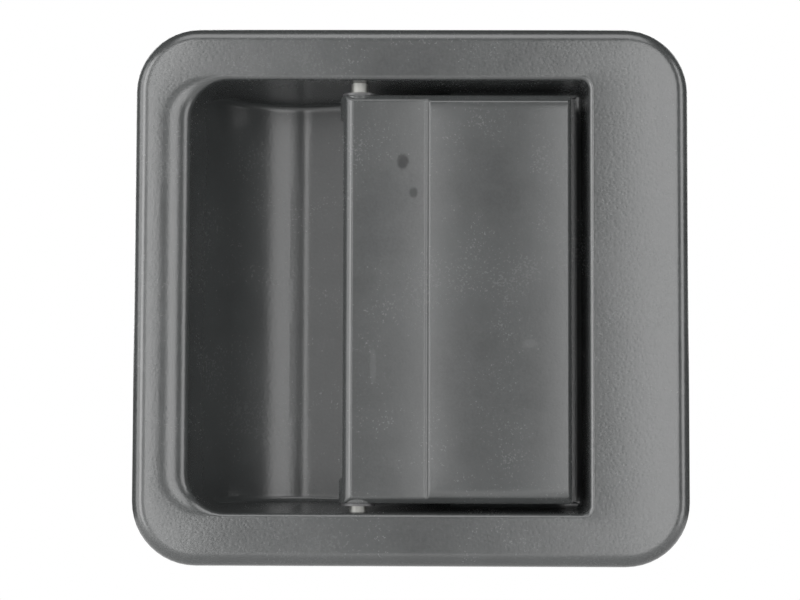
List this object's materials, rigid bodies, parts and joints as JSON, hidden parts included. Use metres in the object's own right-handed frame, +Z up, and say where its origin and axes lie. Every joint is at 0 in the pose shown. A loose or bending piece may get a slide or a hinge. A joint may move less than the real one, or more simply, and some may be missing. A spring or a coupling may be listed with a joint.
{
  "type": "recessed car door pull handle",
  "caption": "Recessed outside door pull handle: moulded escutcheon with finger recess, hinged pull paddle, and a bellcrank behind the panel that lifts the latch rod.",
  "frame": {"origin": "middle of the escutcheon plate, on the outer face of the door panel that the gasket rests on", "axes": "+X to the right seen from outside the door, +Y into the door, +Z up"},
  "size_m": [0.13, 0.053, 0.126],
  "materials": {
    "housing_plastic": "fine moulded grain",
    "paddle_plastic": "smooth satin",
    "foam": "closed-cell foam",
    "zinc_steel": "zinc plated",
    "spring_steel": "oiled spring steel",
    "acetal": "natural acetal",
    "black_acetal": "black acetal",
    "rubber": "matt rubber",
    "brass": "turned brass"
  },
  "bodies": {
    "housing": {"housing": "housing_plastic", "gasket": "foam", "mounting_studs": "zinc_steel", "hinge_pin": "zinc_steel", "bump_stops": "rubber", "arm_guide": "acetal", "threaded_inserts": "brass", "lever_bracket": "zinc_steel", "bracket_screws": "zinc_steel", "bracket_washers": "spring_steel", "pivot_pin": "zinc_steel", "pivot_clip": "spring_steel", "return_spring": "spring_steel"},
    "paddle": {"paddle_shell": "paddle_plastic", "paddle_inner_plate": "zinc_steel", "paddle_screws": "zinc_steel", "hinge_bushes": "black_acetal", "release_arm": "zinc_steel", "arm_screws": "zinc_steel", "hook_pin": "zinc_steel"},
    "bellcrank": {"bellcrank": "zinc_steel", "lever_bush": "acetal", "lever_peg": "zinc_steel"},
    "rod_clip": {"rod_clip": "acetal"}
  },
  "joints": [
    {"name": "paddle_hinge", "type": "hinge", "parent": "housing", "child": "paddle", "pos_m": [-0.0123, -0.0045, 0], "axis": [0, 0, -1], "range_deg": [0, 20], "stiffness_Nm_per_rad": 0.25, "springref_deg": -20.05},
    {"name": "bellcrank_pivot", "type": "hinge", "parent": "housing", "child": "bellcrank", "pos_m": [0.035, 0.01712, -0.024], "axis": [1, 0, 0], "range_deg": [0, 28.65], "deforming": ["return_spring"]},
    {"name": "rod_clip_pivot", "type": "hinge", "parent": "bellcrank", "child": "rod_clip", "pos_m": [0.035, 0.0365, -0.02895], "axis": [1, 0, 0], "range_deg": [-40, 40]}
  ],
  "couplings": [
    {"joint": "bellcrank_pivot", "follows": "paddle_hinge", "ratio": 1.4324}
  ]
}
